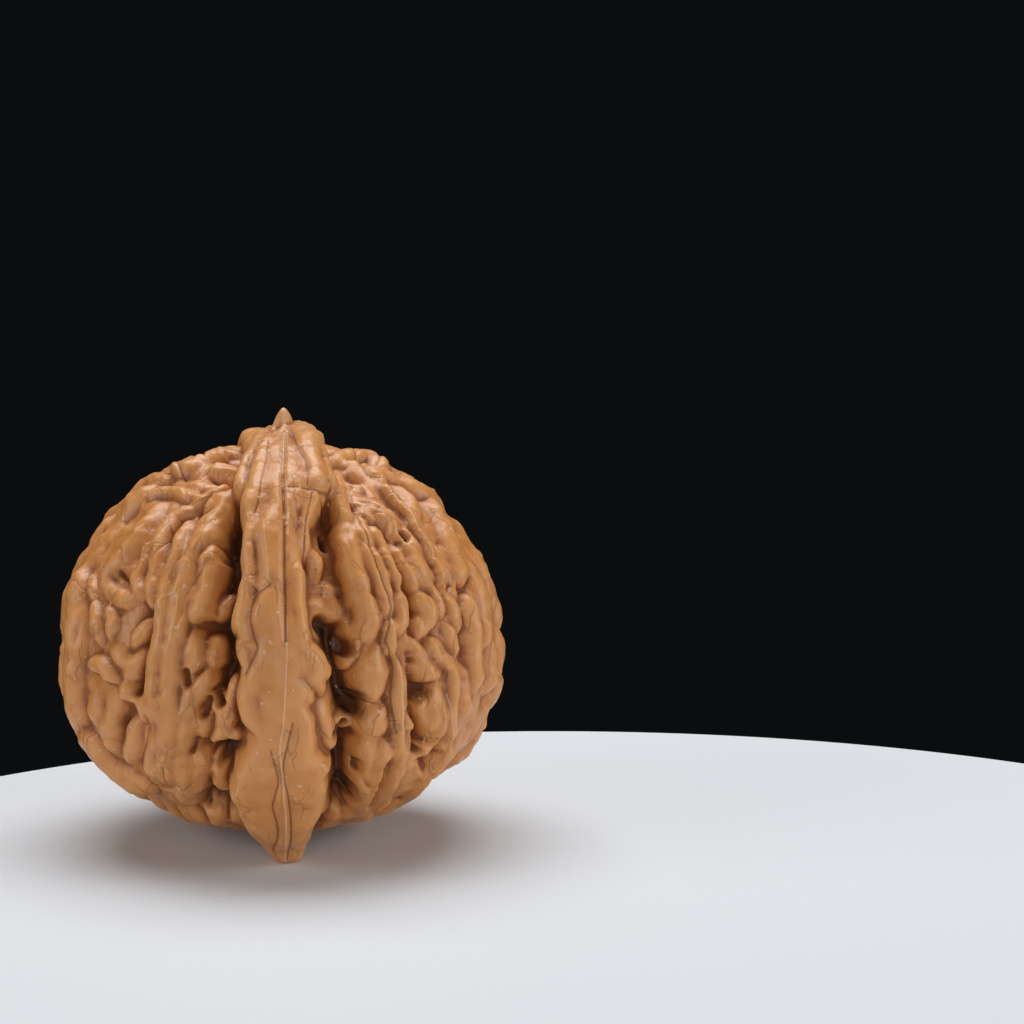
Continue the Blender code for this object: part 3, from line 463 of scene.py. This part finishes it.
def hidden_lobes(rng):
    """The lobes on the edge of each belly, round the tip and round the base, by rule."""
    lobes = []
    for side in (0, 180):
        for azimuth in EDGE_AZIMUTHS:
            lobes += run_of_lobes(rng, side + azimuth)
        for azimuth in np.linspace(*CROWN_AZIMUTHS, CROWN_LOBES):
            azimuth += rng.uniform(-CROWN_STRAY, CROWN_STRAY)
            steps = [direction(azimuth, down) for down in CROWN_SPAN]
            lobes.append(lobe(np.array(steps), rng.uniform(*CROWN_WIDTH), CROWN_CREST))
        for azimuth in np.linspace(*BASE_AZIMUTHS, BASE_LOBES):
            azimuth += side + rng.uniform(-BASE_STRAY, BASE_STRAY)
            bend = rng.uniform(-BASE_BEND, BASE_BEND)
            downs = np.linspace(*BASE_SPAN, 3)
            steps = [direction(azimuth + bend * part, down) for part, down in zip((0, 0.5, 1), downs)]
            width = (rng.uniform(*BASE_WIDTH), BASE_END_WIDTH)
            lobes.append(lobe(np.array(steps), width, BASE_CREST))
    for azimuth, down, width, crest in KNOBS:
        lobes.append(lobe(direction(azimuth, down)[None, :], width, crest))
    return lobes


def fractal(rays, layers, seed):
    """Smooth noise between about -1 and 1 times each layer's height, for (size mm, height mm) layers."""
    total = np.zeros(len(rays))
    for size, height in layers:
        scale = MEAN_RADIUS / size
        shift = Vector((seed, 2.7 * seed, -1.3 * seed))
        total += height * np.array([noise.noise(Vector(ray) * scale + shift) for ray in rays])
    return total


def distances(rays, line):
    """The distance in mm over the surface from each ray to the nearest point of the line."""
    nearest = np.full(len(rays), np.inf)
    for point in line:
        nearest = np.minimum(nearest, ((rays - point) ** 2).sum(1))
    return MEAN_RADIUS * np.sqrt(nearest)


def near(rays, line, margin):
    """The rays within margin mm of the line's surrounding ball."""
    centre = line.mean(0)
    reach = np.linalg.norm(line - centre, axis=1).max() + margin / MEAN_RADIUS
    return np.flatnonzero(((rays - centre) ** 2).sum(1) < reach ** 2)


def raise_lobe(relief, rays, shape):
    """Lifts the relief to a rounded lobe, melted a little into what is there."""
    line, widths, crests, drop = shape
    margin = LOBE_MARGIN * widths.max() + MELT_MARGIN
    index = near(rays, line, margin)
    if len(index) == 0:
        return
    level = np.full(len(index), LOWEST)
    for first in range(0, len(line), LINE_CHUNK):
        chunk = slice(first, first + LINE_CHUNK)
        close = near(rays[index], line[chunk], margin)
        part = rays[index[close]]
        for point, width, crest in zip(line[chunk], widths[chunk], crests[chunk]):
            reach = MEAN_RADIUS * np.sqrt(((part - point) ** 2).sum(1)) / width
            fall = drop * (reach ** 2 + SIDE_STEEPNESS * np.maximum(reach - 1, 0) ** 2)
            level[close] = np.maximum(level[close], crest - fall)
    ground = relief[index]
    gap = np.abs(ground - level)
    melt = SOFTNESS + DEEP_SOFTNESS * np.clip(-crests.mean(), 0, 1)
    relief[index] = np.maximum(ground, level) + melt * np.log1p(np.exp(-gap / melt))


def bent(rays):
    """The rays strayed a little aside, so that no lobe's outline is even."""
    wobble = np.stack([fractal(rays, WOBBLE, seed) for seed in WOBBLE_SEEDS], axis=1)
    return unit(rays + wobble / MEAN_RADIUS)


def valley_floor(rays):
    """The ground between the lobes, deeper along the hollows of both halves."""
    floor = VALLEY_FLOOR + fractal(rays, FLOOR_LUMPS, FLOOR_SEED)
    for half_width, depth, pixels in HOLLOWS:
        line, _ = smooth_line(seen_at(pixels, -HOLLOW_LEVEL * depth))
        for turned in (line, line * (-1, -1, 1)):
            reach = np.clip(distances(rays, bent(turned)) / (HOLLOW_REACH * half_width), 0, 1)
            slope = 1 - reach ** 2 * (3 - 2 * reach)
            floor = np.minimum(floor, VALLEY_FLOOR - (depth + VALLEY_FLOOR) * slope)
    return floor


def nut_relief(rays):
    """The height in mm of the nut's surface above its skin."""
    rng = random.Random(LOBE_SEED)
    strayed = bent(rays)
    relief = valley_floor(strayed)
    hood, ridge = seen_lobes(HOOD_LOBES), [seam_ridge()]
    front = seen_lobes(RIDGE_LOBES + LEFT_LOBES + RIGHT_LOBES)
    shapes = hood + front + turned_to_back(front, rng)
    shapes += ridge + turned_to_back(lowered(ridge, BACK_RIDGE_SINK), rng)
    wide_hood = [shape for shape in hood if shape[1].max() > BACK_HOOD_WIDTH]
    shapes += turned_to_back(lowered(wide_hood, BACK_HOOD_SINK), random.Random(HOOD_SEED))
    for line, *rest in shapes + [pointed_tip()] + hidden_lobes(rng):
        raise_lobe(relief, strayed, (bent(line), *rest))
    for radius, level, depth, pixels in PITS:
        line, _ = smooth_line(seen_at(pixels, level))
        for turned in (line, line * (-1, -1, 1)):
            outside = distances(strayed, bent(turned)) - radius
            side = level + np.maximum(PIT_SLOPE * outside, -depth)
            gap = np.abs(relief - side)
            relief = np.minimum(relief, side) - PIT_SOFTNESS * np.log1p(np.exp(-gap / PIT_SOFTNESS))
    from_tip = distances(rays, direction(0, TIP_LEAN)[None, :])
    lumps = np.clip(from_tip / TIP_CALM, 0, 1) * fractal(rays, SURFACE_LUMPS, LUMP_SEED)
    return relief + lumps


# Fine dark creases: half width, depth and the skin's height there in mm, then the pixels along them
CREASES = [
    (0.12, 0.45, 2.4, [(284, 432), (283, 470), (284, 520), (284, 560), (285, 600), (286, 640)]),
    (0.09, 0.22, 2.4, [(272, 757), (277, 775), (278, 785), (274, 800), (273, 810), (278, 830),
                       (274, 845)]),
    (0.09, 0.22, 2.4, [(292, 730), (288, 745), (284, 762), (284, 780), (288, 797), (291, 828),
                       (287, 850)]),
    (0.09, 0.25, 2.4, [(253, 447), (247, 462), (246, 475)]),
    (0.09, 0.20, 2.4, [(268, 441), (265, 460), (261, 478), (258, 495), (254, 507)]),
    (0.09, 0.22, 2.4, [(291, 430), (297, 445), (303, 455), (307, 465), (308, 480)]),
    (0.09, 0.18, 2.4, [(288, 486), (298, 485), (310, 485), (325, 484), (332, 480)]),
    (0.09, 0.18, 2.4, [(313, 488), (311, 497), (308, 510), (306, 530), (305, 560)]),
    (0.09, 0.20, 2.4, [(268, 585), (260, 590), (256, 588)]),
    (0.11, 0.30, 2.4, [(258, 590), (252, 605), (250, 620), (253, 635), (257, 648), (251, 662),
                       (246, 672)]),
    (0.09, 0.25, 0.1, [(181, 462), (182, 475)]),
    (0.09, 0.25, 0.1, [(183, 474), (205, 473), (230, 470)]),
    (0.09, 0.35, 0.1, [(168, 530), (168, 550), (163, 560)]),
    (0.09, 0.35, 0.1, [(142, 722), (141, 745), (136, 768)]),
    (0.09, 0.25, 0.1, [(162, 770), (165, 785), (170, 797)]),
    (0.11, 0.30, 0.1, [(385, 590), (392, 605), (390, 620), (386, 640), (392, 655), (395, 665),
                       (394, 700), (397, 730)]),
    (0.09, 0.30, 0.1, [(365, 704), (385, 707), (392, 702)]),
    (0.11, 0.70, 0.1, [(390, 765), (384, 785), (377, 800), (372, 810)]),
    (0.09, 0.30, 0.1, [(353, 453), (362, 463), (370, 472), (380, 476)]),
    (0.09, 0.25, 0.1, [(358, 512), (368, 540), (378, 570), (386, 592)]),
]

# Pale veins: half width, their own height and the skin's in mm, then the pixels along them
VEINS = [
    (0.09, 0.08, 2.4, [(287, 620), (287, 650), (285, 700), (283, 730), (280, 750), (283, 780),
                       (284, 800), (286, 820), (285, 856)]),
    (0.07, 0.06, 2.4, [(286, 480), (288, 500), (288, 530)]),
    (0.07, 0.06, 2.4, [(263, 520), (267, 560), (268, 575)]),
    (0.22, 0.05, 2.4, [(284, 412), (283, 440), (281, 470)]),
    (0.07, 0.07, 0.1, [(186, 528), (184, 545), (182, 555), (178, 575), (174, 590), (163, 597),
                       (155, 608)]),
    (0.07, 0.07, 0.1, [(177, 598), (176, 612), (172, 635)]),
    (0.07, 0.06, 0.1, [(146, 560), (143, 577)]),
    (0.07, 0.06, 0.1, [(453, 700), (453, 720), (455, 740)]),
    (0.07, 0.06, 0.1, [(455, 745), (445, 760), (432, 772)]),
    (0.07, 0.06, 0.1, [(400, 660), (403, 690), (403, 730)]),
    (0.07, 0.06, 2.4, [(232, 464), (246, 448), (262, 432)]),
]

# The thin plates that cover the surface: their width in mm, how much longer they are than wide, and
# the half width and depth of the creases between them
PLATE_WIDTH = 3.0
PLATE_STRETCH = 2.2
PLATE_BEND = [(3.0, 0.9), (1.2, 0.3)]
PLATE_CREASE = 0.11
PLATE_DEPTH = 0.18
PLATE_SEEDS = (21.0, 23.0, 27.0)

# The share of the creases that show, how it varies in mm, and how little of them is left within
# this many mm of the seam
PLATE_SHARE = 0.55
PLATE_PATCHES = [(3.5, 0.9)]
PATCH_SEED = 31.0
SEAM_SHARE = 0.25
SEAM_REACH = 1.5

# How wide in mm a mark's soft valley is, from where to where a ray stops belonging to it, and the
# most half widths aside that are kept
MARK_BLUR = 0.26
MARK_REACH = (0.35, 0.55)
MARK_ASIDE = 9

# How wide in mm the painted shadow at a pit's rim fades, and the depth in mm from which a pit's painted
# shadow is darkest
PIT_RIM = 0.25
DARKEST_DEPTH = 3.0

# How often the form is averaged for the small, middling and large dips that the colours and their
# painted shade follow
DIP_ROUNDS = {"dip_fine": 5, "dip_small": 30, "dip_large": 400}

BALL_SUBDIVISIONS = 8
TRIANGLES = 196000


def plate_creases(rays):
    """How strongly each ray lies on a crease between the thin plates that cover the surface."""
    bend = np.stack([fractal(rays, PLATE_BEND, seed) for seed in PLATE_SEEDS], axis=1)
    places = (MEAN_RADIUS * rays + bend) / PLATE_WIDTH * (1, 1, 1 / PLATE_STRETCH)
    gaps = []
    for place in places:
        reached, _ = noise.voronoi(Vector(place))
        gaps.append(reached[1] - reached[0])
    share = np.clip(PLATE_SHARE + fractal(rays, PLATE_PATCHES, PATCH_SEED), 0, 1)
    share *= np.clip(MEAN_RADIUS * np.abs(rays[:, 0]) / SEAM_REACH - 1, SEAM_SHARE, 1)
    return share * np.exp(-(np.array(gaps) / PLATE_CREASE) ** 2)


def pit_shade(rays):
    """How much painted shadow each ray gets for lying in one of the pits, the deeper the pits the
    darker.
    """
    shade = np.zeros(len(rays))
    for radius, level, depth, pixels in PITS:
        line, _ = smooth_line(seen_at(pixels, level))
        for turned in (line, line * (-1, -1, 1)):
            inside = np.clip((radius + PIT_RIM - distances(rays, turned)) / (2 * PIT_RIM), 0, 1)
            shade = np.maximum(shade, inside * min(depth / DARKEST_DEPTH, 1))
    return shade


def marks_on(rays, marks):
    """The height round the fine marks, how far aside of one each ray lies in its half widths, and
    how strongly it belongs to it."""
    nearest = np.full(len(rays), MARK_REACH[1])
    height, aside, strength = np.zeros((3, len(rays)))
    for width, step, level, pixels in marks:
        line, _ = smooth_line(seen_at(pixels, level))
        across = unit(np.cross(line, np.gradient(line, axis=0)))
        for flip in ((1, 1, 1), (-1, -1, 1)):
            index = near(rays, flip * line, MARK_REACH[1])
            offsets = MEAN_RADIUS * (rays[index, None] - flip * line)
            gaps = np.linalg.norm(offsets, axis=2)
            best = gaps.argmin(1)
            gap = gaps.min(1)
            side = (offsets[np.arange(len(index)), best] * (flip * across)[best]).sum(1)
            closer = gap < nearest[index]
            chosen = index[closer]
            nearest[chosen] = gap[closer]
            aside[chosen] = side[closer] / width
            height[chosen] = step * np.exp(-(gap[closer] / MARK_BLUR) ** 2)
            beyond = (gap[closer] - MARK_REACH[0]) / (MARK_REACH[1] - MARK_REACH[0])
            strength[chosen] = 1 - np.clip(beyond, 0, 1)
    return height, np.clip(aside, -MARK_ASIDE, MARK_ASIDE), strength


def blurred(values, edges, rounds):
    """The values after each is averaged with its neighbours, so many times over."""
    count = np.bincount(edges.ravel(), minlength=len(values))
    for _ in range(rounds):
        total = np.bincount(edges[:, 0], values[edges[:, 1]], len(values))
        total += np.bincount(edges[:, 1], values[edges[:, 0]], len(values))
        values = 0.5 * values + 0.5 * total / count
    return values


ball = bmesh.new()
bmesh.ops.create_icosphere(ball, subdivisions=BALL_SUBDIVISIONS, radius=1)
shell_mesh = bpy.data.meshes.new("nut_shell")
ball.to_mesh(shell_mesh)
ball.free()
rays = np.empty(3 * len(shell_mesh.vertices))
shell_mesh.vertices.foreach_get("co", rays)
rays = unit(rays.reshape(-1, 3))
edges = np.empty(2 * len(shell_mesh.edges), int)
shell_mesh.edges.foreach_get("vertices", edges)
edges = edges.reshape(-1, 2)

form = nut_relief(rays) - PLATE_DEPTH * plate_creases(rays)
crease_depth, crease_side, crease = marks_on(rays, CREASES)
vein_height, vein_side, vein = marks_on(rays, VEINS)
relief = form - crease_depth + vein_height
points = MM * (MIDDLE + (skin_radius(rays) + relief)[:, None] * rays)
shift = 0.5 * (points.min(0) + points.max(0)) * (1, 1, 0)
points -= shift
points[:, 2] = np.maximum(points[:, 2], 0)
shell_mesh.vertices.foreach_set("co", points.ravel())
shell_mesh.update()

layers = {name: blurred(form, edges, rounds) - form for name, rounds in DIP_ROUNDS.items()}
layers.update(below_skin=-form, pit=pit_shade(rays), crease=crease, crease_side=crease_side,
              vein=vein, vein_side=vein_side)
for name, values in layers.items():
    layer = shell_mesh.attributes.new(name, "FLOAT", "POINT")
    layer.data.foreach_set("value", values.astype(np.float32))
shell_mesh.shade_smooth()
shell = bpy.data.objects.new("nut_shell", shell_mesh)
bpy.context.scene.collection.objects.link(shell)
thin = shell.modifiers.new("thin", "DECIMATE")
thin.ratio = TRIANGLES / len(shell_mesh.polygons)
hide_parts("walnut")
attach(shell, "root")


class Shade:
    """A shader socket that takes part in sums, and makes the nodes that it needs."""

    def __init__(self, tree, socket=None):
        self.tree = tree
        self.socket = socket

    def node(self, kind, settings, inputs, output=0):
        """Adds a node of any kind: its settings first, then the values or links of its sockets."""
        made = self.tree.nodes.new(kind)
        for name, value in settings.items():
            if name == "stops":
                for place, colour in value[len(made.color_ramp.elements):]:
                    made.color_ramp.elements.new(place)
                for element, (place, colour) in zip(made.color_ramp.elements, value):
                    element.position = place
                    element.color = colour
            else:
                setattr(made, name, value)
        for name, value in inputs.items():
            if isinstance(value, Shade):
                self.tree.links.new(value.socket, made.inputs[name])
            else:
                made.inputs[name].default_value = value
        return Shade(self.tree, made.outputs[output])

    def sum(self, operation, first, second):
        return self.node("ShaderNodeMath", {"operation": operation}, {0: first, 1: second})

    def __add__(self, other):
        return self.sum("ADD", self, other)

    def __sub__(self, other):
        return self.sum("SUBTRACT", self, other)

    def __rsub__(self, other):
        return self.sum("SUBTRACT", other, self)

    def __mul__(self, other):
        return self.sum("MULTIPLY", self, other)

    __radd__ = __add__
    __rmul__ = __mul__

    def ramp(self, low, high):
        """0 at low, 1 at high, smooth between."""
        return self.node("ShaderNodeMapRange", {"interpolation_type": "SMOOTHSTEP"},
                         {"Value": self, "From Min": low, "From Max": high})

    def mix(self, mask, other, blend="MIX"):
        """This colour, turned to the other one where the mask is 1."""
        return self.node("ShaderNodeMix", {"data_type": "RGBA", "blend_type": blend},
                         {0: mask, 6: self, 7: other}, 2)


def attribute(tree, name):
    return Shade(tree).node("ShaderNodeAttribute", {"attribute_name": name}, {}, 2)


def noise_on(tree, place, scale, detail, roughness=0.5, output=0):
    sockets = {"Vector": place, "Scale": scale, "Detail": detail, "Roughness": roughness}
    return Shade(tree).node("ShaderNodeTexNoise", {}, sockets, output)


def line_on(side):
    """1 on a line's middle and 0 from its edge, from the distance aside in half widths."""
    return 1 - side.node("ShaderNodeMath", {"operation": "ABSOLUTE"}, {0: side}).ramp(0.4, 1.2)


# The polish. Bare lignified shell, rubbed to a soft sheen by hand: tan on the crests, red brown in
# the hollows deepened with painted shade, painted shadow near black in the pits and deep grooves,
# painted shade in the fine creases, wear mixed with a painted highlight near the tip, with pale
# veins, dark hairline creases and pale specks.
CREST_TAN = (0.64, 0.275, 0.080, 1.0)
BODY_TAN = (0.52, 0.195, 0.048, 1.0)
# the hollows' own red brown, also used as painted shade in the hollows
RED_BROWN_AND_SHADE = (0.26, 0.070, 0.014, 1.0)
# painted shadow colour, near black, for the pits and the deepest grooves
PIT_PAINTED_SHADE = (0.022, 0.009, 0.005, 1.0)
# the dark brown of the crease lines and hairlines, also used as painted shade in small dips
CREASE_BROWN_AND_SHADE = (0.22, 0.068, 0.020, 1.0)
VEIN_PALE = (0.70, 0.46, 0.28, 1.0)
# pale of wear near the tip, partly a painted highlight of the overhead light
WORN_AND_HIGHLIGHT_PALE = (0.74, 0.50, 0.32, 1.0)
HAIRLINE_STRAY = (0.0022, 0.0022, 0.0022)
FIBRE_HEIGHT = 0.00016
WORN_AND_HIGHLIGHT_HEIGHTS = (0.0330, 0.0385)
ALONG = (1.0, 1.0, 0.3)

shell_finish = bpy.data.materials.new("polished_shell")
shell_finish.use_nodes = True
tree = shell_finish.node_tree
shader = tree.nodes["Principled BSDF"]
place = Shade(tree).node("ShaderNodeTexCoord", {}, {}, 3)
lengthwise = Shade(tree).node("ShaderNodeMapping", {}, {"Vector": place, "Scale": ALONG})

mottle = noise_on(tree, place, 160, 3)
fibre = noise_on(tree, lengthwise, 1500, 4)
grain = noise_on(tree, place, 4200, 3)
speck = noise_on(tree, place, 1500, 1).ramp(0.70, 0.76)
dip_fine_at = attribute(tree, "dip_fine")
dip_small_at = attribute(tree, "dip_small")
dip_large_at = attribute(tree, "dip_large")
crease_at = attribute(tree, "crease") * line_on(attribute(tree, "crease_side"))
vein_at = attribute(tree, "vein") * line_on(attribute(tree, "vein_side"))
strayed = Shade(tree).node("ShaderNodeVectorMath", {"operation": "MULTIPLY_ADD"},
                           {0: noise_on(tree, place, 450, 2, output=1), 1: HAIRLINE_STRAY, 2: place})
hair_place = Shade(tree).node("ShaderNodeMapping", {}, {"Vector": strayed, "Scale": ALONG})
hair_gap = Shade(tree).node("ShaderNodeTexVoronoi", {"feature": "DISTANCE_TO_EDGE"},
                            {"Vector": hair_place, "Scale": 430})
hairline = (1 - hair_gap.ramp(0.012, 0.045)) * noise_on(tree, place, 260, 1).ramp(0.46, 0.62)

colour = Shade(tree).node("ShaderNodeRGB", {}, {})
colour.socket.default_value = BODY_TAN
colour = colour.mix((mottle * 0.6 + 0.1 - dip_small_at * 2.4).ramp(0.1, 0.9), CREST_TAN)
# the hollows' own red brown, partly painted shade where the surface dips
colour = colour.mix(dip_small_at.ramp(0.02, 0.38) * 0.75, RED_BROWN_AND_SHADE)
# painted shade: the large hollows and the floors deepest below the skin darkened to red brown and near
# black
colour = colour.mix(dip_large_at.ramp(0.9, 2.4) * 0.8, RED_BROWN_AND_SHADE)
colour = colour.mix(dip_large_at.ramp(1.9, 3.2) * 0.9, PIT_PAINTED_SHADE)
colour = colour.mix(attribute(tree, "below_skin").ramp(2.2, 4.2) * 0.9, PIT_PAINTED_SHADE)
# painted shadow in the pits, darker for deeper pits
colour = colour.mix(attribute(tree, "pit") * 0.95, PIT_PAINTED_SHADE)
# painted shade in the fine creases between lobes
colour = colour.mix(dip_fine_at.ramp(0.015, 0.10) * 0.6, CREASE_BROWN_AND_SHADE)
colour = colour.mix(hairline * 0.35, CREASE_BROWN_AND_SHADE)
colour = colour.mix(crease_at * 0.75, CREASE_BROWN_AND_SHADE)
colour = colour.mix(vein_at * 0.55, VEIN_PALE)
height_at = Shade(tree).node("ShaderNodeSeparateXYZ", {}, {0: place}, 2)
# paler towards the top: partly real wear, partly a painted highlight from the light above
worn_and_highlight = height_at.ramp(*WORN_AND_HIGHLIGHT_HEIGHTS) * (0.35 - dip_small_at * 1.5 + mottle * 0.9).ramp(0.3, 1.0)
colour = colour.mix(worn_and_highlight * 0.12, WORN_AND_HIGHLIGHT_PALE)
colour = colour.mix(speck * 0.6, VEIN_PALE)
tree.links.new(colour.socket, shader.inputs["Base Color"])
rough = fibre * 0.2 + dip_small_at.ramp(0.0, 0.5) * 0.2 + 0.34
tree.links.new(rough.socket, shader.inputs["Roughness"])
ripple = noise_on(tree, lengthwise, 700, 4, 0.6)
skin_height = fibre * 0.4 + grain * 0.2 + ripple * 1.4
skin_height = skin_height - hairline * 0.5 - crease_at * 0.8 + speck * 0.6
bump = Shade(tree).node("ShaderNodeBump", {},
                        {"Strength": 0.6, "Distance": FIBRE_HEIGHT, "Height": skin_height})
tree.links.new(bump.socket, shader.inputs["Normal"])
coat = 0.2 - dip_small_at.ramp(0.0, 0.3) * 0.2
tree.links.new(coat.socket, shader.inputs["Coat Weight"])
shader.inputs["Coat Roughness"].default_value = 0.3
shell_mesh.materials.append(shell_finish)


# The view, from a little above the table and a little to the left of the seam's plane. The nut's
# ridge faces it, and the nut stands in the left half of the frame as in the photograph.
eye, right, up, forward = front_view()
camera_data = bpy.data.cameras.new("view")
camera_data.sensor_width = 36
camera_data.lens = FOCAL_PIXELS * camera_data.sensor_width / (2 * FRAME_CENTRE)
camera_data.clip_start = 0.01
camera = bpy.data.objects.new("view", camera_data)
bpy.context.scene.collection.objects.link(camera)
camera.location = MM * eye - shift
camera.rotation_euler = Vector(-forward).to_track_quat("Z", "Y").to_euler()
bpy.context.scene.camera = camera


# The floor, a plain pale round table top with a dark room behind it.
FLOOR_RADIUS = 0.0816
FLOOR_CENTRE = (0.0216, -0.0416)
FLOOR_SEGMENTS = 256
FLOOR_PALE = (0.695, 0.72, 0.755, 1.0)
FLOOR_ROUGHNESS = 0.6
ROOM_DARK = (0.0035, 0.004, 0.0045, 1.0)

disc = bmesh.new()
bmesh.ops.create_circle(disc, cap_ends=True, segments=FLOOR_SEGMENTS, radius=FLOOR_RADIUS)
bmesh.ops.translate(disc, verts=disc.verts, vec=(*FLOOR_CENTRE, 0))
floor_mesh = bpy.data.meshes.new("floor")
disc.to_mesh(floor_mesh)
disc.free()
floor = bpy.data.objects.new("floor", floor_mesh)
bpy.context.scene.collection.objects.link(floor)
floor_finish = bpy.data.materials.new("pale_floor")
floor_finish.use_nodes = True
floor_shader = floor_finish.node_tree.nodes["Principled BSDF"]
floor_shader.inputs["Base Color"].default_value = FLOOR_PALE
floor_shader.inputs["Roughness"].default_value = FLOOR_ROUGHNESS
floor_mesh.materials.append(floor_finish)

room = bpy.data.worlds.new("room")
room.use_nodes = True
room.node_tree.nodes["Background"].inputs["Color"].default_value = ROOM_DARK
bpy.context.scene.world = room
bpy.context.scene.view_settings.view_transform = "Standard"


# The lights: one wide soft box overhead and a little behind, one at each side, and a weak one in
# front.
# Each box's name, place and size in metres, and power in watts.
SOFT_BOXES = [
    ("overhead", (0.00, 0.13, 0.42), (0.40, 0.30), 2.05),
    ("left_side", (-0.38, -0.14, 0.14), (0.30, 0.30), 0.70),
    ("right_side", (0.38, -0.14, 0.14), (0.30, 0.30), 0.84),
    ("front_fill", (0.00, -0.50, 0.12), (0.30, 0.20), 0.52),
]
for name, spot, size, power in SOFT_BOXES:
    box = bpy.data.lights.new(name, "AREA")
    box.shape = "RECTANGLE"
    box.size, box.size_y = size
    box.energy = power
    lamp = bpy.data.objects.new(name, box)
    bpy.context.scene.collection.objects.link(lamp)
    lamp.location = spot
    aim = Vector(spot) - Vector((0, 0, MIDDLE_HEIGHT))
    lamp.rotation_euler = aim.to_track_quat("Z", "Y").to_euler()
